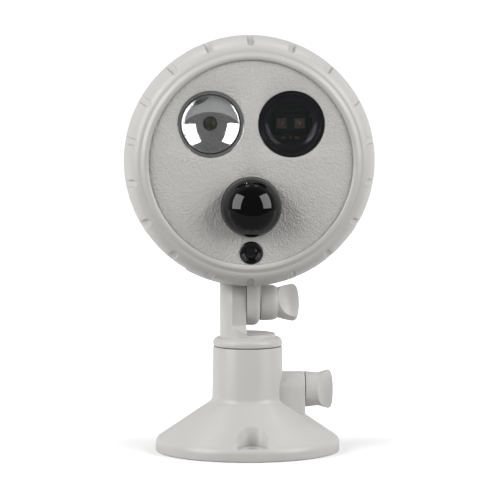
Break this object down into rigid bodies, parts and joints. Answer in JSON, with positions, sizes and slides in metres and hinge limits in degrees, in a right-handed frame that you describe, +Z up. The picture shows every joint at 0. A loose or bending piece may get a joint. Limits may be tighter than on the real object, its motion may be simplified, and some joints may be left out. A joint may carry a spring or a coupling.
{
  "type": "floodlight security camera",
  "caption": "Round battery spotlight camera with motion dome and night light on a pan and tilt screw-down stand.",
  "frame": {"origin": "centre of the base underside, on the pan axis", "axes": "+Z up along the pan axis, -Y out of the lamp face, +X to the right of someone facing the lamp"},
  "size_m": [0.124, 0.094, 0.2082],
  "materials": {
    "shell": "fine satin, light warm grey",
    "shell_grained": "light warm grey, pebble grained face, smooth rim",
    "black_plastic": "satin black",
    "dome_plastic": "high gloss black",
    "clear_window": "clear polished",
    "smoked_window": "smoked, polished",
    "lens_glass": "coated lens",
    "mirror_cup": "vacuum metallised",
    "steel": "zinc plated",
    "brass": "knurled, dull",
    "sink": "cast, bare",
    "green_board": "solder mask over glass fibre",
    "white_board": "white coated metal-core board",
    "emitter_yellow": "phosphor under silicone",
    "emitter_white": "white package, clear fill",
    "white_plastic": "matt",
    "seal_rubber": "matt",
    "cell_can": "printed sleeve, plain"
  },
  "bodies": {
    "stand": {"base_stand": "shell", "pan_insert": "brass"},
    "pan_clamp_washer": {"pan_washer": "steel"},
    "pan_clamp_knob": {"pan_knob": "shell", "pan_stud": "steel"},
    "swivel": {"swivel_post": "shell", "swivel_washer": "steel", "swivel_screw": "steel", "tilt_stud": "steel"},
    "tilt_clamp_washer": {"tilt_washer": "steel"},
    "tilt_clamp_knob": {"tilt_knob": "shell", "tilt_nut": "brass"},
    "head": {"rear_housing": "shell", "housing_seal": "seal_rubber", "battery_tray": "black_plastic", "battery_cell_left": "cell_can", "battery_cell_middle": "cell_can", "battery_cell_right": "cell_can", "battery_contact_upper_left": "steel", "battery_contact_upper_right": "steel", "battery_contact_lower_right": "steel", "battery_contact_lower_left": "steel"},
    "front_unit": {"front_panel": "shell_grained", "spot_window": "clear_window", "spot_reflector": "mirror_cup", "spot_emitter": "emitter_yellow", "spot_board": "white_board", "spot_heatsink": "sink", "night_window": "smoked_window", "night_cup": "black_plastic", "night_board": "green_board", "night_emitter_left": "emitter_white", "night_emitter_right": "emitter_white", "motion_dome": "dome_plastic", "motion_detector": "steel", "motion_holder": "white_plastic", "camera_trim": "black_plastic", "camera_glass": "lens_glass", "camera_barrel": "black_plastic", "camera_module": "black_plastic", "main_board": "green_board", "board_screw_1": "steel", "board_screw_2": "steel", "board_screw_3": "steel", "board_screw_4": "steel", "mode_switch_body": "steel"},
    "lock_ring_body": {"lock_ring": "shell"},
    "mode_slider": {"mode_switch_slider": "black_plastic"}
  },
  "joints": [
    {"name": "pan", "type": "hinge", "parent": "stand", "child": "swivel", "pos_m": [0, 0, 0.0523], "axis": [0, 0, 1], "continuous": true},
    {"name": "tilt", "type": "hinge", "parent": "swivel", "child": "head", "pos_m": [0, 0, 0.0741], "axis": [1, 0, 0], "range_deg": [-60, 45]},
    {"name": "pan_washer_slide", "type": "slide", "parent": "stand", "child": "pan_clamp_washer", "axis": [1, 0, 0], "range_m": [0, 0.002]},
    {"name": "pan_knob_turn", "type": "hinge", "parent": "pan_clamp_washer", "child": "pan_clamp_knob", "pos_m": [0.0352, 0, 0.0304], "axis": [1, 0, 0], "range_deg": [0, 725]},
    {"name": "tilt_washer_slide", "type": "slide", "parent": "swivel", "child": "tilt_clamp_washer", "axis": [1, 0, 0], "range_m": [0, 0.0016]},
    {"name": "tilt_knob_turn", "type": "hinge", "parent": "tilt_clamp_washer", "child": "tilt_clamp_knob", "pos_m": [0.0144, 0, 0.0741], "axis": [1, 0, 0], "range_deg": [0, 725]},
    {"name": "front_unit_pull", "type": "slide", "parent": "head", "child": "front_unit", "axis": [0, -1, 0], "range_m": [0, 0.055]},
    {"name": "lock_ring_turn", "type": "hinge", "parent": "front_unit", "child": "lock_ring_body", "pos_m": [0, 0, 0.1462], "axis": [0, -1, 0], "range_deg": [0, 30]},
    {"name": "mode_switch_slide", "type": "slide", "parent": "front_unit", "child": "mode_slider", "axis": [1, 0, 0], "range_m": [0, 0.0035]}
  ],
  "couplings": [
    {"joint": "pan_knob_turn", "follows": "pan_washer_slide", "rad_per_m": 6283.2},
    {"joint": "tilt_knob_turn", "follows": "tilt_washer_slide", "rad_per_m": 7854}
  ]
}
